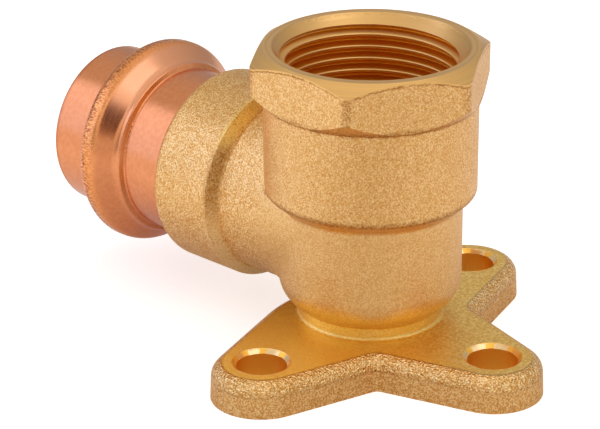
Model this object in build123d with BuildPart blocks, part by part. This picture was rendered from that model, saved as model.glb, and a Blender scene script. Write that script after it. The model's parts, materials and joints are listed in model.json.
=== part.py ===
"""Wall plate elbow: a brass body with a threaded outlet, and a copper press socket with its seal.

The origin is on the outlet's axis, on the plate's wall face. +Z runs up the outlet,
the press socket points along -X, and the plate's three arms point along +X, +Y and -Y.
"""
import os
from math import radians, tan

from build123d import *

# Wall plate
plate_thickness = 5.3
plate_edge_radius = 2.1
plate_draft = 2.5
plate_back = 12.2
plate_back_radius = 20.0
hub_radius = 13.8
arm_count = 3
arm_spread = 90
arm_reach = 22.85
arm_end_radius = 7.25
notch_radius = 1.2
screw_hole_radius = 3.6
screw_chamfer = 0.55

# Upright barrel on its pedestal
pedestal_radius = 10.4
pedestal_fillet = 0.5
barrel_radius = 13.2
barrel_bottom = 7.2
barrel_round_start = 11.6
undercut_reach = 19.0

# Collar and hexagon round the outlet
collar_radius = 15.2
collar_bottom = 24.75
collar_step = 1.7
collar_edge_radius = 0.9
hexagon_bottom = 38.2
hexagon_flats = 31.0
hexagon_corner_radius = 1.7
outlet_height = 46.0
outlet_face_radius = 15.2
crown_angle = 31.0
under_angle = 44.0

# Branch that holds the copper socket, measured from the outlet's axis
branch_height = 20.2
branch_neck_radius = 12.95
branch_blend_radius = 6.0
boss_radius = 14.5
boss_end = 30.0
boss_shoulder = 19.0
shoulder_length = 1.6
neck_end = 9.0
boss_edge_radius = 1.3
shoulder_edge_radius = 0.7
shoulder_foot_radius = 3.0

# Waterway
thread_radius = 13.22
thread_depth = 17.0
outlet_chamfer = 0.72
outlet_bore_radius = 9.0
outlet_bore_floor = 11.0
branch_bore_radius = 8.5

# Copper press socket, measured from the outlet's axis
socket_end = 53.25
socket_radius = 12.3
socket_root_radius = 12.35
socket_bore_radius = 11.1
rim_edge_radius = 0.4
bead_radius = 15.65
bead_foot = 45.1
bead_flank_lean = 0.55
bead_crest_length = 2.78
bead_shoulder = 39.16
bead_shoulder_radius = 13.3
bead_step = 38.3
bead_step_radius = 13.12
bead_root = 37.9
bead_outer_fillets = (0.5, 1.5, 2.2, 1.5, 0.3, 0.3)
seal_groove_radius = 13.95
seal_groove_foot = 43.95
seal_groove_lean = 0.15
seal_groove_length = 2.1
seal_groove_root = 39.6
seal_groove_fillets = (0.3, 1.2, 0.8, 0.5)
tube_stop = 30.2
socket_seat = 29.0
seat_length = 1.8
spigot_radius = 10.7
spigot_bore_radius = 9.4
spigot_end = 21.0

# Sealing ring
ring_section_radius = 1.4
ring_clearance = 0.02
ring_centre = 42.45

# How close two coordinates are when they count as equal
position_tolerance = 0.01

os.makedirs("parts", exist_ok=True)

branch_axis = Axis((0, 0, branch_height), (1, 0, 0))
hexagon_reach = hexagon_flats


def branch_point(distance, radius):
    """A point of a branch profile, from its distance along the branch and its radius."""
    return (-distance, branch_height + radius)


def seat_points():
    """The stepped seat that the copper socket and the brass mouth share, from the mouth inwards."""
    return [
        branch_point(boss_end, socket_root_radius),
        branch_point(socket_seat, socket_root_radius),
        branch_point(socket_seat - seat_length, spigot_radius),
        branch_point(spigot_end, spigot_radius),
    ]


# Brass elbow body
with BuildSketch() as arm:
    Circle(hub_radius)
    with Locations((arm_reach, 0)):
        Circle(arm_end_radius)
    make_hull()

with BuildPart() as elbow_body:
    # Plate: tapered arms round a hub, with tight notches between neighbouring arms
    with BuildSketch() as plate_outline:
        with PolarLocations(0, arm_count, start_angle=-arm_spread, angular_range=2 * arm_spread,
                            endpoint=True):
            add(arm.sketch)
        notches = plate_outline.vertices().filter_by(
            lambda v: v.X > notch_radius and abs(v.X - abs(v.Y)) < position_tolerance)
        fillet(notches, notch_radius)
        with Locations((-plate_back, 0)):
            Rectangle(hub_radius, 2 * arm_reach, align=(Align.MAX, Align.CENTER), mode=Mode.SUBTRACT)
        fillet(plate_outline.vertices().group_by(Axis.X)[0], plate_back_radius)
    extrude(amount=plate_thickness, taper=plate_draft)
    fillet(elbow_body.faces().sort_by(Axis.Z)[-1].edges(), plate_edge_radius)
    with Locations(Plane.XY.offset(plate_thickness)):
        with PolarLocations(arm_reach, arm_count, start_angle=-arm_spread, angular_range=2 * arm_spread,
                            endpoint=True):
            CounterSinkHole(screw_hole_radius, screw_hole_radius + screw_chamfer, counter_sink_angle=90)

    # Barrel and branch neck, with a rolling blend where they meet
    with BuildSketch(Plane.XY.offset(plate_thickness)):
        Circle(barrel_radius)
    extrude(amount=hexagon_bottom - plate_thickness)
    with BuildSketch(Plane.YZ.offset(-boss_shoulder)):
        with Locations((0, branch_height)):
            Circle(branch_neck_radius)
    extrude(amount=boss_shoulder)
    crossing = elbow_body.edges().filter_by(lambda e: e.geom_type not in (GeomType.LINE, GeomType.CIRCLE))
    fillet(crossing, branch_blend_radius)

    # Undercut between the plate and the barrel, which leaves the pedestal
    with BuildSketch(Plane.XZ) as undercut:
        with BuildLine():
            round_start = (barrel_radius, barrel_round_start)
            round_end = (pedestal_radius, barrel_bottom)
            Polyline(round_end, (pedestal_radius, plate_thickness), (undercut_reach, plate_thickness),
                     (undercut_reach, barrel_round_start), round_start)
            TangentArc(round_start, round_end, tangent=(0, -1))
        make_face()
        fillet(undercut.vertices().group_by(Axis.X)[0], pedestal_fillet)
    revolve(axis=Axis.Z, mode=Mode.SUBTRACT)

    # Collar, stepped out from the barrel
    with BuildSketch(Plane.XZ) as collar_profile:
        step_start = collar_bottom - collar_step
        with BuildLine():
            Polyline((0, branch_height), (barrel_radius, branch_height), (barrel_radius, step_start),
                     (collar_radius, collar_bottom), (collar_radius, hexagon_bottom),
                     (0, hexagon_bottom), close=True)
        make_face()
        corners = collar_profile.vertices().filter_by_position(Axis.Y, step_start, collar_bottom)
        fillet(corners, collar_edge_radius)
    revolve(axis=Axis.Z)

    # Hexagon, turned to a cone above and below its flats
    with BuildSketch(Plane.XY.offset(hexagon_bottom)) as hexagon:
        RegularPolygon(hexagon_flats / 2, 6, major_radius=False)
        fillet(hexagon.vertices(), hexagon_corner_radius)
    extrude(amount=outlet_height - hexagon_bottom)
    with BuildSketch(Plane.XZ):
        with BuildLine():
            crown_drop = (hexagon_reach - outlet_face_radius) * tan(radians(crown_angle))
            Polyline((outlet_face_radius, outlet_height), (hexagon_reach, outlet_height),
                     (hexagon_reach, outlet_height - crown_drop), close=True)
        make_face()
        with BuildLine():
            under_rise = (hexagon_reach - collar_radius) * tan(radians(under_angle))
            Polyline((collar_radius, hexagon_bottom), (hexagon_reach, hexagon_bottom),
                     (hexagon_reach, hexagon_bottom + under_rise), close=True)
        make_face()
    revolve(axis=Axis.Z, mode=Mode.SUBTRACT)

    # Boss at the end of the branch, and the neck's underside over the undercut
    with BuildSketch(Plane.XZ) as boss_profile:
        shoulder_end = boss_shoulder - shoulder_length
        with BuildLine():
            Polyline(branch_point(boss_end, 0), branch_point(boss_end, boss_radius),
                     branch_point(boss_shoulder, boss_radius),
                     branch_point(shoulder_end, branch_neck_radius),
                     branch_point(neck_end, branch_neck_radius), branch_point(neck_end, 0), close=True)
        make_face()
        rims = boss_profile.vertices().group_by(Axis.Y)[-1].sort_by(Axis.X)
        shoulder_foot = boss_profile.vertices().group_by(Axis.Y)[-2].sort_by(Axis.X)[0]
        fillet(rims[0], boss_edge_radius)
        fillet(rims[1], shoulder_edge_radius)
        fillet(shoulder_foot, shoulder_foot_radius)
    revolve(axis=branch_axis)

    # Threaded outlet at the thread's outer radius, narrowing to the waterway
    with BuildSketch(Plane.XZ):
        thread_end = outlet_height - thread_depth
        runout = thread_radius - outlet_bore_radius
        with BuildLine():
            Polyline((0, outlet_bore_floor), (outlet_bore_radius, outlet_bore_floor),
                     (outlet_bore_radius, thread_end - runout), (thread_radius, thread_end),
                     (thread_radius, outlet_height - outlet_chamfer),
                     (thread_radius + outlet_chamfer, outlet_height), (0, outlet_height), close=True)
        make_face()
    revolve(axis=Axis.Z, mode=Mode.SUBTRACT)

    # Branch waterway and the stepped seat for the copper socket
    with BuildSketch(Plane.XZ):
        with BuildLine():
            Polyline((0, branch_height), branch_point(boss_end, 0), *seat_points(),
                     branch_point(spigot_end, branch_bore_radius),
                     branch_point(0, branch_bore_radius), close=True)
        make_face()
    revolve(axis=branch_axis, mode=Mode.SUBTRACT)

# Copper press socket, rolled from tube with a bead for the seal
with BuildPart() as press_socket:
    with BuildSketch(Plane.XZ) as socket_profile:
        with BuildLine():
            flank_top = bead_foot - bead_flank_lean
            groove_top = seal_groove_foot - seal_groove_lean
            bead_outside = [
                branch_point(bead_foot, socket_radius),
                branch_point(flank_top, bead_radius),
                branch_point(flank_top - bead_crest_length, bead_radius),
                branch_point(bead_shoulder, bead_shoulder_radius),
                branch_point(bead_step, bead_step_radius),
                branch_point(bead_root, socket_root_radius),
            ]
            bead_inside = [
                branch_point(seal_groove_foot, socket_bore_radius),
                branch_point(groove_top, seal_groove_radius),
                branch_point(groove_top - seal_groove_length, seal_groove_radius),
                branch_point(seal_groove_root, socket_bore_radius),
            ]
            stop_drop = socket_bore_radius - spigot_bore_radius
            Polyline(branch_point(socket_end, socket_bore_radius), branch_point(socket_end, socket_radius),
                     *bead_outside, *seat_points(), branch_point(spigot_end, spigot_bore_radius),
                     branch_point(tube_stop - stop_drop, spigot_bore_radius),
                     branch_point(tube_stop, socket_bore_radius), *reversed(bead_inside), close=True)
        make_face()
        for point, radius in zip(bead_outside + bead_inside, bead_outer_fillets + seal_groove_fillets):
            fillet(socket_profile.vertices().sort_by_distance(point)[0], radius)
        fillet(socket_profile.vertices().group_by(Axis.X)[0], rim_edge_radius)
    revolve(axis=branch_axis)

# Rubber sealing ring, seated in the bead
with BuildPart() as sealing_ring:
    with BuildSketch(Plane.XZ):
        ring_radius = seal_groove_radius - ring_clearance - ring_section_radius
        with Locations(branch_point(ring_centre, ring_radius)):
            Circle(ring_section_radius)
    revolve(axis=branch_axis)

elbow_body.part.label = "elbow_body"
press_socket.part.label = "press_socket"
sealing_ring.part.label = "sealing_ring"
export_step(elbow_body.part, "parts/elbow_body.step")
export_step(press_socket.part, "parts/press_socket.step")
export_step(sealing_ring.part, "parts/sealing_ring.step")
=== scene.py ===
"""Looks of the wall plate elbow: blasted and turned brass, drawn copper, its thread and a plain studio."""
import json
import math

import bpy
import numpy as np
from mathutils import Matrix, Vector


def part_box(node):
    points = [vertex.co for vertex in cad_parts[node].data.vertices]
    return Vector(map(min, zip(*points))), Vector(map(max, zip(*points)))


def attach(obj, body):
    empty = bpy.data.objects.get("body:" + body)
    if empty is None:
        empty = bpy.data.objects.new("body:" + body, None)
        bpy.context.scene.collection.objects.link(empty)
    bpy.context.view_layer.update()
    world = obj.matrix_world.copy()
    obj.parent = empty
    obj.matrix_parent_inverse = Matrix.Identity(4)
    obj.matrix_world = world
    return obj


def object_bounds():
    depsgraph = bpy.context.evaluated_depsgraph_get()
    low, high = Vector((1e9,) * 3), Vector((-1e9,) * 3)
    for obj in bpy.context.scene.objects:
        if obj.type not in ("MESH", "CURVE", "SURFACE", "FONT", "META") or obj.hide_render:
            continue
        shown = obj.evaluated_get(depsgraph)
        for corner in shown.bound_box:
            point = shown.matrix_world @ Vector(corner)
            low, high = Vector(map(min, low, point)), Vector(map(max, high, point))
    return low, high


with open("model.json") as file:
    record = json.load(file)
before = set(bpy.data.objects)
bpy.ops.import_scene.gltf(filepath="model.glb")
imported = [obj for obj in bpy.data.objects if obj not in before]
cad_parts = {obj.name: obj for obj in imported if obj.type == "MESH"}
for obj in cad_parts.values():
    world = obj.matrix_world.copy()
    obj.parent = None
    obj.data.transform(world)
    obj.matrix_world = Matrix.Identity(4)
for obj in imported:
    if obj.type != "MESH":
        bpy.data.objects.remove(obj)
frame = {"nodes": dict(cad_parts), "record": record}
cad_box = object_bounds()

# Lengths in the scene are in metres, and named sizes below are in millimetres
mm = 0.001
mounts = {mount["name"]: mount for mount in frame["record"]["mounts"]}

# Threaded outlet, and the riser under it
outlet_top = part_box("elbow_body")[1].z / mm
thread_radius = mounts["outlet_thread"]["dims"]["r_mm"]
thread_wall = mounts["outlet_thread"]["dims"]["length_mm"]
thread_pitch = 25.4 / 14
thread_flank_angle = math.radians(27.5)
thread_rounding = 0.137329 * thread_pitch
thread_height = 0.640327 * thread_pitch
thread_crest_radius = thread_radius - thread_height
thread_crest_cut = 0.02
thread_skin = 0.025
thread_lip = 0.004
thread_start_turn = 0.90
mouth_chamfer = 0.72
mouth_radius = thread_radius + mouth_chamfer
mouth_depth = 1.9
first_turn_depth = 3.1
riser_radius = 9.0
riser_floor = 11.0

# Crown turned on the hexagon, and the collar below it
crown_inner_radius = 15.2
crown_slope = math.tan(math.radians(31.0))
hexagon_foot = 38.2
hexagon_corner_reach = 17.52
collar_foot = 24.75
collar_radius = 15.2
barrel_radius = 13.2

# Plate and its screw holes
plate_top = 5.3
plate_edge = 2.1
arm_start = 14.0
# Top of the band where the barrel's painted reflection is laid, from the plate's face up
reflection_band_top = 11.0
screw_radius = mounts["front_screw"]["dims"]["r_mm"]
screw_reach = mounts["front_screw"]["pos_m"][0] / mm
screw_chamfer = 0.55
screw_rim_radius = screw_radius + screw_chamfer
screw_rim_lip = 0.02
chatter_depth = 0.07
chatter_count = 9
chatter_wander = 0.35
chatter_rise = 0.7

# Branch with its boss, and the copper socket in it, measured from the outlet's axis
branch_height = mounts["tube_socket"]["pos_m"][2] / mm
branch_root = 8.0
boss_start = 14.0
boss_shoulder = 19.0
neck_radius = 12.95
socket_radius = 12.3
socket_end = -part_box("press_socket")[0].x / mm
bead_crest_end = 41.8
bead_crest_radius = 15.65
bead_back = 44.3

# Sizes of the skins' dents and rings, and depths of bump
fine_dent = 0.23
coarse_dent = 0.29
plate_dent = 0.45
fine_ring = 0.16
broad_ring = 0.55
thread_ring = 0.14
cast_bump = 0.05
thread_bump = 0.0002
copper_bump = 0.11
rubber_bump = 0.01

# Colours of the metals and the rubber, in linear light
brass_light = (1.0, 0.70, 0.33, 1)
brass_deep = (0.68, 0.32, 0.075, 1)
# Painted reflection of the barrel, lighter and more golden, laid on the plate and the barrel's foot
reflection_light_gold = (1.0, 0.72, 0.24, 1)
reflection_deep_gold = (0.82, 0.48, 0.10, 1)
# Painted light, a paler gold, on the right arm's face and the top of the boss's shoulder
painted_light_gold = (1.0, 0.70, 0.17, 1)
# Painted reflection, a saturated orange, in the screw holes' walls
hole_reflection_orange = (1.0, 0.56, 0.09, 1)
# Dark brown of the blasting pits and the burr, also laid as painted shade and on the darker corners
pit_and_shade_brown = (0.36, 0.135, 0.022, 1)
brass_orange = (0.80, 0.46, 0.12, 1)
# Painted light at the foot of the boss's shoulder
painted_light_brass = (1.0, 0.78, 0.42, 1)
# Light tone of turned brass, also laid as a painted highlight on the thread's crests
turned_tone_and_highlight = (0.86, 0.50, 0.165, 1)
turned_dull = (0.75, 0.44, 0.155, 1)
# Painted shade, a deep orange, in the thread's grooves and down the waterway
turned_recess_shade = (0.86, 0.36, 0.025, 1)
turned_pale = (0.96, 0.66, 0.32, 1)
copper_light = (0.81, 0.315, 0.13, 1)
copper_deep = (0.70, 0.235, 0.09, 1)
# Painted highlight on the top of the bead's flank
painted_flank_copper = (0.86, 0.39, 0.21, 1)
# Painted highlight, a bright orange, on the bead's crest
painted_crest_copper = (0.98, 0.39, 0.12, 1)
# Dark copper of the roller marks, also laid as painted shade at the bead's foot and on the darker tube end
copper_dark = (0.34, 0.09, 0.03, 1)
rubber_black = (0.012, 0.012, 0.013, 1)
rubber_bloom = (0.05, 0.05, 0.052, 1)

# Floor, with its sizes in metres, and the tints that metal sees in it
floor_reach = 4.0
floor_drop = 0.00002
floor_colour = (0.80, 0.75, 0.69, 1)
floor_whiteness = 0.6
plain_white = (1, 1, 1, 1)
warm_glow = (1.0, 0.86, 0.74, 1)
left_tint = (0.9, 0.98, 1.15, 1)
right_tint = (0.95, 1.0, 1.25, 1)

# Surround, and the camera's stand in it, whose size is given as sines of angles
surround_white = (1, 0.98, 0.95, 1)
stand_brown = (1, 0.5, 0.38, 1)
stand_half_width = 0.26
stand_half_height = 0.34

# Camera, with its place in metres and its lens and sensor in millimetres
camera_place = (0.22430, -0.25675, 0.17031)
camera_heading = math.radians(42.832)
camera_pitch = math.radians(23.760)
camera_roll = math.radians(-0.307)
camera_lens = 156.24
camera_sensor = 36.0


def grid_faces(rows, columns):
    """Quads of a grid that closes on itself both ways, row by row."""
    row, column = np.meshgrid(np.arange(rows), np.arange(columns), indexing="ij")
    next_row, next_column = (row + 1) % rows, (column + 1) % columns
    corners = [row * columns + column, row * columns + next_column,
               next_row * columns + next_column, next_row * columns + column]
    return np.stack(corners, -1).reshape(-1, 4)


def make_piece(name, points, material, smooth=True):
    """A mesh object at the origin from a closed grid of points in millimetres, riding on the part."""
    mesh = bpy.data.meshes.new(name)
    mesh.from_pydata(points.reshape(-1, 3) * mm, [], grid_faces(*points.shape[:2]))
    mesh.polygons.foreach_set("use_smooth", np.full(len(mesh.polygons), smooth))
    mesh.materials.append(material)
    piece = bpy.data.objects.new(name, mesh)
    bpy.context.scene.collection.objects.link(piece)
    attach(piece, "root")


def thread_face_radius(turn, height):
    """Radius of the thread's face: over half a pitch it is a crest arc, a straight flank and a root arc."""
    axial = (height / thread_pitch - turn - thread_start_turn) % 1.0
    from_crest = np.abs(axial - 0.5) * thread_pitch
    from_root = thread_pitch / 2 - from_crest
    arc_reach = thread_rounding * math.cos(thread_flank_angle)
    arc_rise = thread_rounding * (1 - math.sin(thread_flank_angle))
    crest_fall = np.sqrt(np.maximum(thread_rounding ** 2 - from_crest ** 2, 0))
    root_fall = np.sqrt(np.maximum(thread_rounding ** 2 - from_root ** 2, 0))
    crest = thread_crest_radius + thread_rounding - crest_fall
    root = thread_radius - thread_rounding + root_fall
    flank = thread_crest_radius + arc_rise + (from_crest - arc_reach) / math.tan(thread_flank_angle)
    face = np.where(from_crest < arc_reach, crest, np.where(from_root < arc_reach, root, flank))
    return np.maximum(face, thread_crest_radius + thread_crest_cut)


def outlet_thread(material):
    """The female thread as one closed skin in the bore: round the turn, a profile runs down the thread's
    face, cut by the mouth's 45 degree cone at the top and by the bore's runout cone below, and up behind
    the wall."""
    turns = 288
    steps = 320
    wall_top = outlet_top - mouth_chamfer
    wall_foot = wall_top - thread_wall
    top = wall_top - thread_lip
    foot = wall_foot - thread_height
    turn = np.linspace(0, 1, turns, endpoint=False)[:, None]
    height = np.linspace(top, foot, steps)[None, :]
    mouth_cone = thread_radius - (wall_top - height)
    runout_cone = thread_radius - np.maximum(wall_foot - height, 0)
    face = np.maximum(thread_face_radius(turn, height), mouth_cone)
    face = np.minimum(face, runout_cone - thread_skin)
    back_height = np.array([[foot, wall_foot, top]])
    back = thread_radius + thread_skin - np.maximum(wall_foot - back_height, 0)
    radius = np.concatenate([face, np.broadcast_to(back, (turns, back.size))], 1)
    heights = np.broadcast_to(np.concatenate([height, back_height], 1), radius.shape)
    angle = 2 * np.pi * turn
    points = np.stack([radius * np.cos(angle), radius * np.sin(angle), heights], -1)
    make_piece("outlet_thread", points, material)


def screw_hole_rim(name, centre, start, material):
    """A countersunk rim as a closed ring: its cone runs from the plate's top down to the hole, its radius
    dips and swells round the turn as a cutter's chatter leaves it, and its back lies behind the cone."""
    turns = 180
    angle = np.linspace(0, 2 * np.pi, turns, endpoint=False)
    phase = angle + start
    beat = (chatter_count * phase / (2 * np.pi) + chatter_wander * np.sin(phase)) % 1.0
    swell = np.where(beat < chatter_rise, beat / chatter_rise, (1 - beat) / (1 - chatter_rise))
    chatter = chatter_depth * swell
    lip = screw_rim_lip
    outer = screw_rim_radius + lip
    bend = screw_chamfer / 4
    radius = np.stack([np.full(turns, outer), outer - bend - chatter, screw_radius - chatter,
                       np.full(turns, screw_radius + lip), np.full(turns, outer + lip)], 1)
    depth = np.array([-lip, bend, screw_chamfer + lip, screw_chamfer + 2 * lip, 2 * lip])
    heights = np.broadcast_to(plate_top - depth, radius.shape)
    points = np.stack([centre[0] + radius * np.cos(angle)[:, None],
                       centre[1] + radius * np.sin(angle)[:, None], heights], -1)
    make_piece(name, points, material, smooth=False)


def node(tree, kind, inputs=None, **settings):
    """A shader node with its settings, whose inputs take sockets as links and anything else as values."""
    made = tree.nodes.new(kind)
    for key, value in settings.items():
        setattr(made, key, value)
    for key, value in (inputs or {}).items():
        socket = made.inputs[key]
        if isinstance(value, bpy.types.NodeSocket):
            tree.links.new(value, socket)
        else:
            socket.default_value = value
    return made


def calc(tree, operation, *values):
    """The result of one arithmetic node on one to three values or sockets."""
    return node(tree, "ShaderNodeMath", dict(enumerate(values)), operation=operation).outputs[0]


def chain(tree, operation, first, *others):
    """One arithmetic operation carried through several values or sockets."""
    for other in others:
        first = calc(tree, operation, first, other)
    return first


def product(tree, *factors):
    """Several values or sockets multiplied."""
    return chain(tree, "MULTIPLY", *factors)


def total(tree, *terms):
    """Several values or sockets added."""
    return chain(tree, "ADD", *terms)


def greatest(tree, *values):
    """The greatest of several values or sockets."""
    return chain(tree, "MAXIMUM", *values)


def minus(tree, first, second):
    """One value or socket less another."""
    return calc(tree, "SUBTRACT", first, second)


def distance(tree, first, second):
    """The length of a flat vector with two components."""
    squares = total(tree, product(tree, first, first), product(tree, second, second))
    return calc(tree, "SQRT", squares)


def ramp(tree, value, low, high):
    """A smooth step from 0 at low to 1 at high, or falling where low is above high."""
    rising = low < high
    made = node(tree, "ShaderNodeMapRange",
                {"Value": value, "From Min": min(low, high), "From Max": max(low, high),
                 "To Min": 0.0 if rising else 1.0, "To Max": 1.0 if rising else 0.0},
                interpolation_type="SMOOTHSTEP")
    return made.outputs["Result"]


def band(tree, value, start, full, fade, end):
    """A mask that rises from start to full along a value, and falls from fade to end."""
    return product(tree, ramp(tree, value, start, full), ramp(tree, value, end, fade))


def span(tree, value, low, high):
    """The value from 0 to 1 taken to the range from low to high."""
    return calc(tree, "MULTIPLY_ADD", value, high - low, low)


def blend(tree, factor, first, second):
    """The mix of two colours by a factor, through the mix node's colour sockets."""
    return node(tree, "ShaderNodeMix", {0: factor, 6: first, 7: second}, data_type="RGBA").outputs[2]


def mix(tree, factor, first, second):
    """The mix of two values by a factor, through the mix node's value sockets."""
    return node(tree, "ShaderNodeMix", {0: factor, 2: first, 3: second}, data_type="FLOAT").outputs[0]


def noise(tree, vector, size, detail=2.0, rough=0.5):
    """Noise whose lumps are about size across, in the vector's units."""
    made = node(tree, "ShaderNodeTexNoise",
                {"Vector": vector, "Scale": 1 / size, "Detail": detail, "Roughness": rough})
    return made.outputs["Fac"]


def scaled(tree, vector, scale):
    """A vector times a value or socket."""
    return node(tree, "ShaderNodeVectorMath", {0: vector, "Scale": scale}, operation="SCALE").outputs[0]


def split(tree, vector):
    """A vector's x, y and z."""
    return tuple(node(tree, "ShaderNodeSeparateXYZ", {0: vector}).outputs)


def joined(tree, x, y, z):
    """A vector from its x, y and z."""
    return node(tree, "ShaderNodeCombineXYZ", {0: x, 1: y, 2: z}).outputs[0]


def group(name, size_label, outputs):
    """An empty shader node group that takes a place and a size, and its input and output nodes."""
    tree = bpy.data.node_groups.new(name, "ShaderNodeTree")
    tree.interface.new_socket("Place", in_out="INPUT", socket_type="NodeSocketVector")
    tree.interface.new_socket(size_label, in_out="INPUT", socket_type="NodeSocketFloat")
    for label in outputs:
        tree.interface.new_socket(label, in_out="OUTPUT", socket_type="NodeSocketFloat")
    return tree, tree.nodes.new("NodeGroupInput"), tree.nodes.new("NodeGroupOutput")


def use_group(tree, shared, place, **sizes):
    """A node group placed in a material, with its place linked and its size set."""
    placed = node(tree, "ShaderNodeGroup", node_tree=shared)
    tree.links.new(place, placed.inputs["Place"])
    for label, size in sizes.items():
        placed.inputs[label.replace("_", " ")].default_value = size
    return placed.outputs


def blasted_skin_group():
    """Grain that shot blasting leaves: a height of fine dents, the dents' tone, dark pits and a mottle.
    The dents are cells with noise over them, and all sizes follow the size of a dent."""
    tree, source, sink = group("blasted skin", "Dent size", ["Height", "Grain", "Pits", "Mottle"])
    place = scaled(tree, source.outputs["Place"], calc(tree, "DIVIDE", 1.0, source.outputs["Dent size"]))
    dents = node(tree, "ShaderNodeTexVoronoi", {"Vector": place, "Scale": 1.0, "Smoothness": 0.5},
                 feature="SMOOTH_F1").outputs["Distance"]
    fine = noise(tree, place, 1.0, 1.0)
    lumps = noise(tree, place, 4.0, 2.0)
    height = total(tree, product(tree, dents, 0.6), product(tree, fine, 0.8))
    tone = total(tree, minus(tree, fine, product(tree, dents, 0.35)), product(tree, lumps, 0.3))
    clusters = product(tree, noise(tree, place, 14.0, 2.0), 0.1)
    pits = total(tree, noise(tree, place, 1.4, 2.0, 0.6), clusters)
    tree.links.new(height, sink.inputs["Height"])
    tree.links.new(ramp(tree, tone, 0.27, 0.73), sink.inputs["Grain"])
    tree.links.new(ramp(tree, pits, 0.58, 0.78), sink.inputs["Pits"])
    tree.links.new(noise(tree, place, 22.0, 3.0), sink.inputs["Mottle"])
    return tree


def turned_skin_group():
    """Rings that a lathe tool leaves round the outlet's axis: a height that follows radius less height."""
    tree, source, sink = group("turned skin", "Ring width", ["Height"])
    x, y, z = split(tree, source.outputs["Place"])
    wobble = product(tree, noise(tree, source.outputs["Place"], 6.0), 0.35)
    along = total(tree, minus(tree, distance(tree, x, y), z), wobble)
    turns = calc(tree, "DIVIDE", along, source.outputs["Ring width"])
    rings = node(tree, "ShaderNodeTexNoise", {"W": turns, "Scale": 1.0, "Detail": 2.0}, noise_dimensions="1D")
    tree.links.new(rings.outputs["Fac"], sink.inputs["Height"])
    return tree


def place_in_mm(tree):
    """Object coordinates in millimetres."""
    return scaled(tree, node(tree, "ShaderNodeTexCoord").outputs["Object"], 1 / mm)


def new_material(name, **fixed):
    """A material with a Principled shader whose constant inputs are set on its own sockets."""
    material = bpy.data.materials.new(name)
    material.use_nodes = True
    tree = material.node_tree
    shader = tree.nodes["Principled BSDF"]
    for key, value in fixed.items():
        shader.inputs[key.replace("_", " ")].default_value = value
    return material, tree, shader


def finish_material(tree, shader, colour, roughness, height, depth):
    """Links a finish to its shader: its colour, its roughness, and a bump about depth millimetres deep."""
    normal = node(tree, "ShaderNodeBump", {"Height": height, "Distance": depth * mm, "Strength": 1.0})
    tree.links.new(colour, shader.inputs["Base Color"])
    tree.links.new(roughness, shader.inputs["Roughness"])
    tree.links.new(normal.outputs["Normal"], shader.inputs["Normal"])


def crown_places(tree, place, ragged):
    """Masks of the crown, which lies on a cone, and of the broken burr just below, where it meets a flat."""
    x, y, z = split(tree, place)
    beyond_face = greatest(tree, minus(tree, distance(tree, x, y), crown_inner_radius), 0.0)
    cone_height = minus(tree, outlet_top, product(tree, beyond_face, crown_slope))
    below = total(tree, minus(tree, cone_height, z), ragged)
    crown = ramp(tree, below, 0.26, 0.16)
    broken = ramp(tree, noise(tree, place, 1.6), 0.3, 0.6)
    burr = product(tree, band(tree, below, 0.15, 0.24, 0.30, 0.60), broken)
    return crown, burr


def bored_places(tree, place):
    """Masks of the threaded bore, of the screw holes, and of the waterway below the outlet's mouth."""
    x, y, z = split(tree, place)
    radius = distance(tree, x, y)
    bore = product(tree, ramp(tree, radius, mouth_radius + 0.26, mouth_radius + 0.06),
                   ramp(tree, z, collar_foot, collar_foot + 0.5))
    riser = product(tree, ramp(tree, radius, riser_radius + 0.6, riser_radius + 0.3),
                    ramp(tree, z, riser_floor - 1.0, riser_floor - 0.2))
    mouth_foot = outlet_top - mouth_depth
    waterway = greatest(tree, product(tree, bore, ramp(tree, z, mouth_foot + 0.1, mouth_foot - 0.1)), riser)
    side = calc(tree, "ABSOLUTE", y)
    along_arm = minus(tree, greatest(tree, x, side), screw_reach)
    from_screw = distance(tree, along_arm, calc(tree, "MINIMUM", x, side))
    holes = product(tree, ramp(tree, from_screw, screw_rim_radius + 0.15, screw_rim_radius - 0.05),
                    ramp(tree, z, plate_top + 0.3, plate_top + 0.1))
    return bore, holes, waterway


def plate_places(tree, z):
    """Masks of the plate's top face, of its rounded rim, of all below the face, and of the band from the face
    up to the barrel's foot, where a painted reflection of the barrel is laid."""
    blur = 0.12
    flat = 0.02
    rim_foot = plate_top - plate_edge
    face = band(tree, z, plate_top - blur, plate_top - flat, plate_top + flat, plate_top + blur)
    rim = band(tree, z, rim_foot - 0.4, rim_foot + 0.2, plate_top - blur, plate_top)
    below = ramp(tree, z, plate_top, plate_top - blur)
    barrel_reflection = band(tree, z, plate_top - blur, plate_top - flat, reflection_band_top - 2.5, reflection_band_top)
    return face, rim, below, barrel_reflection


def shoulder_places(tree, place, along):
    """Masks of the slope from the boss down to the branch's neck: its top and its foot, which get painted
    light, and its middle, which gets painted shade.
    """
    y, z = split(tree, place)[1:]
    lift = minus(tree, z, branch_height)
    top_start = 7.0
    top_full = 10.5
    slope = product(tree, band(tree, along, boss_shoulder - 2.2, boss_shoulder - 0.8,
                               boss_shoulder - 0.5, boss_shoulder + 1.0),
                    ramp(tree, distance(tree, y, lift), neck_radius, neck_radius + 0.4))
    top = product(tree, slope, ramp(tree, lift, top_start, top_full))
    middle = product(tree, slope, band(tree, lift, -4.0, 3.0, top_start, top_full))
    foot = product(tree, slope, ramp(tree, lift, 1.0, -5.0))
    return top, middle, foot


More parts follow.
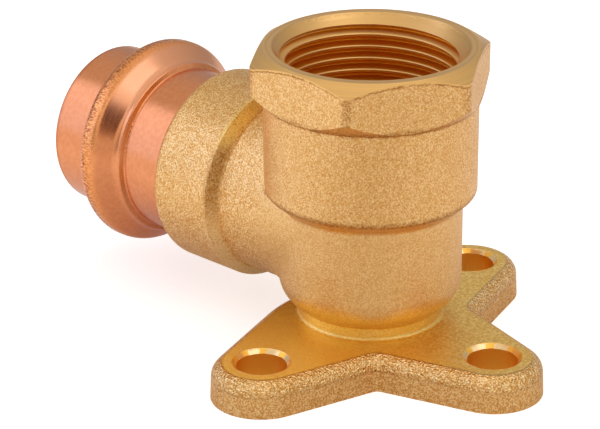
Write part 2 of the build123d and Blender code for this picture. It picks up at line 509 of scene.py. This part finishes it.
def foot_and_corner_places(tree, place, ragged):
    """Masks of ragged lines of painted shade along the hexagon's and the collar's feet, and of the hexagon's
    darker corners.
    """
    x, y, z = split(tree, place)
    radius = distance(tree, x, y)
    rough_z = total(tree, z, product(tree, ragged, 1.4))
    hexagon_line = band(tree, rough_z, hexagon_foot - 0.3, hexagon_foot,
                        hexagon_foot + 0.4, hexagon_foot + 1.2)
    collar_line = product(tree, band(tree, rough_z, collar_foot - 0.5, collar_foot - 0.2,
                                     collar_foot + 0.2, collar_foot + 0.9),
                          band(tree, radius, barrel_radius + 0.8, barrel_radius + 1.6,
                               collar_radius + 0.1, collar_radius + 0.3))
    corners = product(tree, ramp(tree, total(tree, radius, ragged),
                                 hexagon_corner_reach - 0.1, hexagon_corner_reach + 0.1),
                      ramp(tree, z, hexagon_foot, hexagon_foot + 0.5))
    return greatest(tree, hexagon_line, collar_line), corners


def cast_brass(blasted, turned):
    """Shot-blasted forging. A painted reflection of the barrel makes the plate and the barrel's foot lighter
    and more golden, and painted light makes the plate's face paler on the right arm. Its grain is strongest
    on the boss and the plate's rim. The boss's shoulder has painted light at its top and foot and painted
    shade in its middle, the feet have painted shade and the corners are darker. The crown is turned in fine
    and broad rings over a ragged dark burr, and the bores are clean, with painted shade down the waterway and
    a painted orange reflection in the screw holes."""
    material, tree, shader = new_material("cast_brass", Metallic=1.0)
    place = place_in_mm(tree)
    x, y, z = split(tree, place)
    skin = use_group(tree, blasted, place, Dent_size=fine_dent)
    coarse = use_group(tree, blasted, place, Dent_size=coarse_dent)
    plate_skin = use_group(tree, blasted, place, Dent_size=plate_dent)
    rings = use_group(tree, turned, place, Ring_width=fine_ring)
    steps = use_group(tree, turned, place, Ring_width=broad_ring)

    ragged = product(tree, minus(tree, noise(tree, place, 0.5), 0.5), 0.7)
    along = total(tree, product(tree, ragged, 1.5), product(tree, x, -1.0))
    crown, burr = crown_places(tree, place, ragged)
    bore, holes, waterway = bored_places(tree, place)
    machined = greatest(tree, crown, bore, waterway, holes)
    plate_face, plate_rim, below_face, barrel_reflection = plate_places(tree, z)
    shoulder_top, shoulder_middle, shoulder_foot = shoulder_places(tree, place, along)
    feet, corners = foot_and_corner_places(tree, place, ragged)

    on_boss = ramp(tree, along, branch_root, boss_start)
    on_barrel = product(tree, ramp(tree, along, branch_root + 4.0, branch_root + 1.0),
                        ramp(tree, z, collar_foot + 0.3, collar_foot - 0.3))
    force = minus(tree, span(tree, on_boss, 0.82, 1.1), product(tree, on_barrel, 0.25))
    grain = calc(tree, "MULTIPLY_ADD", minus(tree, skin["Grain"], 0.5), force, 0.5)
    grain = mix(tree, plate_face, grain, plate_skin["Grain"])
    rim_grain = mix(tree, plate_rim, skin["Grain"], coarse["Grain"])
    grain = mix(tree, below_face, grain, span(tree, rim_grain, -0.15, 1.3))

    # Painted reflection: the plate and the barrel's foot take lighter, more golden tones for the barrel
    # reflected in them
    deep = blend(tree, barrel_reflection, brass_deep, reflection_deep_gold)
    light = blend(tree, barrel_reflection, brass_light, reflection_light_gold)
    colour = blend(tree, grain, deep, light)
    # Painted light: the plate's face on the right arm is laid paler, as if more light fell there
    painted_light_arm = product(tree, plate_face, ramp(tree, y, 0.0, -arm_start))
    colour = blend(tree, product(tree, painted_light_arm, 0.75), colour, painted_light_gold)
    # Painted light on the boss's shoulder: golden at its top and pale at its foot
    painted_top_light = product(tree, shoulder_top, span(tree, coarse["Grain"], 0.55, 1.0))
    colour = blend(tree, painted_top_light, colour, painted_light_gold)
    colour = blend(tree, product(tree, shoulder_foot, 0.7), colour, painted_light_brass)
    mottle = product(tree, skin["Mottle"], span(tree, barrel_reflection, 0.3, 0.1))
    colour = blend(tree, mottle, colour, brass_orange)

    pit_depth = product(tree, span(tree, plate_face, 0.5, 0.3), force)
    pits = product(tree, skin["Pits"], total(tree, pit_depth, product(tree, below_face, 0.15)))
    # Painted shade along the hexagon's and the collar's feet and in the middle of the boss's shoulder, and
    # darker hexagon corners
    painted_shade_and_dark_corners = greatest(tree, product(tree, feet, span(tree, coarse["Grain"], 0.8, 0.15)),
                       product(tree, corners, span(tree, skin["Grain"], 0.55, 0.15)),
                       product(tree, shoulder_middle, span(tree, coarse["Grain"], 0.95, 0.38)))
    dark = greatest(tree, pits, product(tree, burr, 0.8), painted_shade_and_dark_corners)
    colour = blend(tree, dark, colour, pit_and_shade_brown)

    ring_tone = greatest(tree, ramp(tree, rings["Height"], 0.5, 0.7), ramp(tree, steps["Height"], 0.52, 0.62))
    colour = blend(tree, crown, colour, blend(tree, ring_tone, turned_tone_and_highlight, turned_dull))
    colour = blend(tree, bore, colour, turned_dull)
    # Painted reflection: the screw holes' walls are laid a saturated orange
    colour = blend(tree, holes, colour, hole_reflection_orange)
    # Painted shade: the waterway below the mouth is laid a deep orange
    colour = blend(tree, waterway, colour, turned_recess_shade)

    cast_rough = mix(tree, plate_rim, span(tree, skin["Mottle"], 0.36, 0.50), 0.26)
    roughness = mix(tree, machined, cast_rough, span(tree, holes, 0.30, 0.42))
    upper_height = product(tree, skin["Height"], span(tree, plate_face, 1.0, 0.7))
    lower_height = product(tree, coarse["Height"], span(tree, plate_rim, 2.0, 5.0))
    cast_height = mix(tree, below_face, upper_height, lower_height)
    turned_height = total(tree, product(tree, rings["Height"], 0.3),
                          product(tree, steps["Height"], crown, 1.2))
    height = mix(tree, machined, cast_height, turned_height)
    finish_material(tree, shader, colour, roughness, height, cast_bump)
    return material


def turned_brass(turned):
    """Brass fresh from the tool: the thread has painted shade deep in its grooves and a painted highlight on
    its crests, wider on the first turn's land, with a dull mouth, and the screw holes' rims are pale and
    bright."""
    material, tree, shader = new_material("turned_brass", Metallic=1.0)
    place = place_in_mm(tree)
    x, y, z = split(tree, place)
    rings = use_group(tree, turned, place, Ring_width=thread_ring)
    first_foot = outlet_top - first_turn_depth
    first_turn = ramp(tree, z, first_foot - 0.3, first_foot + 0.3)
    above_crest = minus(tree, distance(tree, x, y), thread_crest_radius)
    lit_crests = ramp(tree, minus(tree, above_crest, product(tree, first_turn, 0.45)), 0.30, 0.12)
    mouth_foot = outlet_top - mouth_depth
    at_mouth = ramp(tree, z, mouth_foot - 0.1, mouth_foot + 0.1)
    at_plate = ramp(tree, z, plate_top + 1.0, plate_top + 0.5)
    # Painted shade in the thread's grooves and a painted highlight on its crests
    colour = blend(tree, lit_crests, turned_recess_shade, turned_tone_and_highlight)
    colour = blend(tree, at_plate, colour, turned_pale)
    colour = blend(tree, at_mouth, colour, turned_dull)
    dull = span(tree, noise(tree, place, 3.0, 2.0), 0.38, 0.44)
    roughness = mix(tree, at_plate, dull, 0.26)
    finish_material(tree, shader, colour, roughness, rings["Height"], thread_bump)
    return material


def drawn_copper():
    """Satin copper tube with a fine mottle, spots and faint marks round the tube. The bead's crest has a
    painted orange highlight under short roller marks along the tube that darken toward its back, the top of
    its flank has a painted pale highlight, the crease at the bead's back has painted shade, and the tube's
    end is darker."""
    material, tree, shader = new_material("drawn_copper", Metallic=1.0)
    place = place_in_mm(tree)
    x, y, z = split(tree, place)
    along = product(tree, x, -1.0)
    lift = minus(tree, z, branch_height)
    radius = distance(tree, y, lift)
    lengthwise = joined(tree, product(tree, along, 0.25), lift, y)
    crosswise = joined(tree, product(tree, along, 5.0), product(tree, lift, 0.5), product(tree, y, 0.5))
    crest_marks = noise(tree, lengthwise, 0.17, 2.0, 0.6)
    faint_marks = noise(tree, crosswise, 1.6, 3.0, 0.6)

    on_crest = product(tree, ramp(tree, along, bead_crest_end - 1.0, bead_crest_end + 0.5),
                       ramp(tree, radius, bead_crest_radius - 1.0, bead_crest_radius - 0.4))
    flank_highlight = product(tree, ramp(tree, along, bead_crest_end + 0.2, bead_crest_end - 0.6),
                       ramp(tree, radius, socket_radius + 0.6, socket_radius + 1.0),
                       ramp(tree, lift, 6.0, 9.5))
    bead_foot_shade = product(tree, ramp(tree, along, bead_back, bead_back + 0.4),
                      ramp(tree, radius, socket_radius + 0.3, socket_radius + 1.1))
    toward_back = ramp(tree, along, bead_crest_end + 0.2, bead_crest_end + 1.6)
    at_end = ramp(tree, along, socket_end - 1.0, socket_end - 0.2)

    clouds = noise(tree, place, 7.0, 3.0)
    mottle = ramp(tree, noise(tree, place, 0.7, 3.0), 0.36, 0.64)
    spots = ramp(tree, noise(tree, place, 0.5, 2.0, 0.6), 0.70, 0.80)
    worn = total(tree, product(tree, clouds, 0.3), product(tree, mottle, 0.4), product(tree, spots, 0.5))
    colour = blend(tree, worn, copper_light, copper_deep)
    # Painted highlight: the top of the bead's flank is laid pale
    colour = blend(tree, product(tree, flank_highlight, 0.9), colour, painted_flank_copper)
    # Painted highlight: the bead's crest is laid a bright orange, under its roller marks
    colour = blend(tree, product(tree, on_crest, 0.8), colour, painted_crest_copper)
    marked = product(tree, on_crest, ramp(tree, crest_marks, 0.60, 0.38), span(tree, toward_back, 0.4, 1.0))
    # Painted shade in the crease at the bead's foot, a darker tube end and the crest's roller marks take dark
    # copper
    shade_end_and_marks = greatest(tree, product(tree, bead_foot_shade, 0.7), product(tree, at_end, 0.5), marked)
    colour = blend(tree, shade_end_and_marks, colour, copper_dark)

    roughness = span(tree, noise(tree, crosswise, 3.0, 3.0), 0.17, 0.31)
    height = total(tree, product(tree, crest_marks, on_crest, 0.35), product(tree, faint_marks, 0.02))
    finish_material(tree, shader, colour, roughness, height, copper_bump)
    return material


def seal_rubber():
    """Moulded black rubber with a dull bloom."""
    material, tree, shader = new_material("seal_rubber")
    place = place_in_mm(tree)
    bloom = noise(tree, place, 1.2, 3.0)
    colour = blend(tree, product(tree, bloom, 0.4), rubber_black, rubber_bloom)
    roughness = span(tree, bloom, 0.4, 0.6)
    finish_material(tree, shader, colour, roughness, noise(tree, place, 0.3), rubber_bump)
    return material


def dress_nodes(finishes):
    """Gives each solid its finish, in its own material slots."""
    for name, material in finishes.items():
        mesh = frame["nodes"][name].data
        mesh.materials.clear()
        mesh.materials.append(material)


def floor_glow(tree):
    """How bright metal sees the floor, and in what tint, by the side of the object that the floor lies on and
    by its distance in metres from the outlet's axis. Left and right, as the photograph shows them, are
    brighter and bluer than front and behind."""
    x, y = split(tree, node(tree, "ShaderNodeTexCoord").outputs["Object"])[:2]
    rightward = total(tree, product(tree, x, math.cos(camera_heading)),
                      product(tree, y, math.sin(camera_heading)))
    away = distance(tree, x, y)
    to_left = calc(tree, "DIVIDE", product(tree, rightward, -1.0), away)
    at_left = ramp(tree, to_left, 0.2, 0.9)
    at_right = ramp(tree, to_left, -0.2, -0.8)
    far_left = product(tree, at_left, ramp(tree, away, 0.04, 0.10),
                       span(tree, ramp(tree, away, 0.08, 0.14), 0.40, 0.31))
    near_left = product(tree, ramp(tree, to_left, 0.72, 0.95),
                        band(tree, away, 0.02, 0.04, 0.055, 0.08), 0.08)
    around = product(tree, span(tree, at_right, 0.13, 0.36), ramp(tree, away, 0.02, 0.07),
                     span(tree, ramp(tree, away, 0.06, 0.11), 1.0, 0.72))
    tint = blend(tree, at_left, warm_glow, left_tint)
    return total(tree, far_left, near_left, around), blend(tree, at_right, tint, right_tint)


def white_floor():
    """A large pale floor that lights as a matt sheet. It looks white but for the object's shadow, and metal
    sees it with a glow of its own."""
    corners = [(-floor_reach, -floor_reach, 0), (floor_reach, -floor_reach, 0),
               (floor_reach, floor_reach, 0), (-floor_reach, floor_reach, 0)]
    mesh = bpy.data.meshes.new("floor")
    mesh.from_pydata(corners, [], [(0, 1, 2, 3)])
    floor = bpy.data.objects.new("floor", mesh)
    floor.location.z = -floor_drop
    bpy.context.scene.collection.objects.link(floor)
    material, tree, shader = new_material("pale_floor", Base_Color=floor_colour, Roughness=0.9,
                                          Specular_IOR_Level=0.0)
    glow, tint = floor_glow(tree)
    path = node(tree, "ShaderNodeLightPath").outputs
    mirrored = greatest(tree, path["Is Glossy Ray"], path["Is Transmission Ray"])
    seen = product(tree, path["Is Camera Ray"], floor_whiteness)
    strength = greatest(tree, seen, product(tree, mirrored, glow))
    tree.links.new(strength, shader.inputs["Emission Strength"])
    tree.links.new(blend(tree, mirrored, plain_white, tint), shader.inputs["Emission Color"])
    mesh.materials.append(material)


def studio_world():
    """A pale surround that is brighter overhead than at the sides and brightest round the camera, with the
    camera's stand as a warm dark upright patch in the middle of that. The camera itself sees it pale."""
    world = bpy.data.worlds.new("studio")
    bpy.context.scene.world = world
    world.use_nodes = True
    tree = world.node_tree
    background = tree.nodes["Background"]
    direction = node(tree, "ShaderNodeTexCoord").outputs["Generated"]
    toward = Vector(camera_place).normalized()
    sideways = Vector((0, 0, 1)).cross(toward).normalized()
    upright = toward.cross(sideways)
    facing, across, upward = [
        node(tree, "ShaderNodeVectorMath", {0: direction, 1: axis}, operation="DOT_PRODUCT").outputs["Value"]
        for axis in (toward, sideways, upright)]
    from_middle = distance(tree, product(tree, across, 1 / stand_half_width),
                           product(tree, upward, 1 / stand_half_height))
    stand = product(tree, ramp(tree, from_middle, 1.1, 0.7), ramp(tree, facing, 0.0, 0.1))
    overhead = ramp(tree, split(tree, direction)[2], 0.1, 0.9)
    front = product(tree, ramp(tree, facing, 0.72, 0.96), 0.56)
    level = total(tree, span(tree, overhead, 0.45, 0.72), front)
    level = product(tree, level, span(tree, stand, 1.0, 0.09))
    camera_ray = node(tree, "ShaderNodeLightPath").outputs["Is Camera Ray"]
    tree.links.new(greatest(tree, level, camera_ray), background.inputs["Strength"])
    tree.links.new(blend(tree, stand, surround_white, stand_brown), background.inputs["Color"])


def softbox(name, place, size, radiance, colour):
    """A square lamp that faces the object, and adds about radiance to what a mirror shows of the surround."""
    light = bpy.data.lights.new(name, "AREA")
    light.shape = "SQUARE"
    light.size = size
    watts_per_area = 4 * radiance
    light.energy = watts_per_area * size ** 2
    light.color = colour
    lamp = bpy.data.objects.new(name, light)
    lamp.location = place
    middle = (cad_box[0] + cad_box[1]) / 2
    lamp.rotation_euler = (middle - Vector(place)).to_track_quat("-Z", "Y").to_euler()
    bpy.context.scene.collection.objects.link(lamp)


def photo_camera():
    """The camera at the photograph's viewing angle."""
    camera = bpy.data.objects.new("camera", bpy.data.cameras.new("camera"))
    camera.data.lens = camera_lens
    camera.data.sensor_width = camera_sensor
    turn = (Matrix.Rotation(camera_heading, 4, "Z")
            @ Matrix.Rotation(math.pi / 2 - camera_pitch, 4, "X")
            @ Matrix.Rotation(camera_roll, 4, "Z"))
    camera.matrix_world = Matrix.Translation(camera_place) @ turn
    camera.data.clip_start = 0.01
    camera.data.clip_end = 20.0
    bpy.context.scene.collection.objects.link(camera)
    bpy.context.scene.camera = camera


# The object: finishes of the solids, then the thread and the screw holes' rims
blasted = blasted_skin_group()
turned = turned_skin_group()
bright_brass = turned_brass(turned)
dress_nodes({"elbow_body": cast_brass(blasted, turned), "press_socket": drawn_copper(),
             "sealing_ring": seal_rubber()})
outlet_thread(bright_brass)
screw_hole_rim("front_hole_rim", (screw_reach, 0), start=0.4, material=bright_brass)
screw_hole_rim("left_hole_rim", (0, screw_reach), start=1.3, material=bright_brass)
screw_hole_rim("right_hole_rim", (0, -screw_reach), start=2.2, material=bright_brass)

# The studio
white_floor()
studio_world()
softbox("overhead", (0.0, 0.0, 0.75), size=0.8, radiance=0.15, colour=(1.0, 0.95, 0.9))
softbox("left", (-0.50, -0.50, 0.34), size=0.7, radiance=0.68, colour=(0.84, 1.02, 1.7))
softbox("right", (0.55, 0.45, 0.35), size=0.6, radiance=0.18, colour=(0.95, 1.0, 1.1))
softbox("front right", (0.46, 0.04, 0.59), size=0.5, radiance=0.55, colour=(0.95, 1.0, 1.15))
photo_camera()
bpy.context.scene.view_settings.view_transform = "Standard"
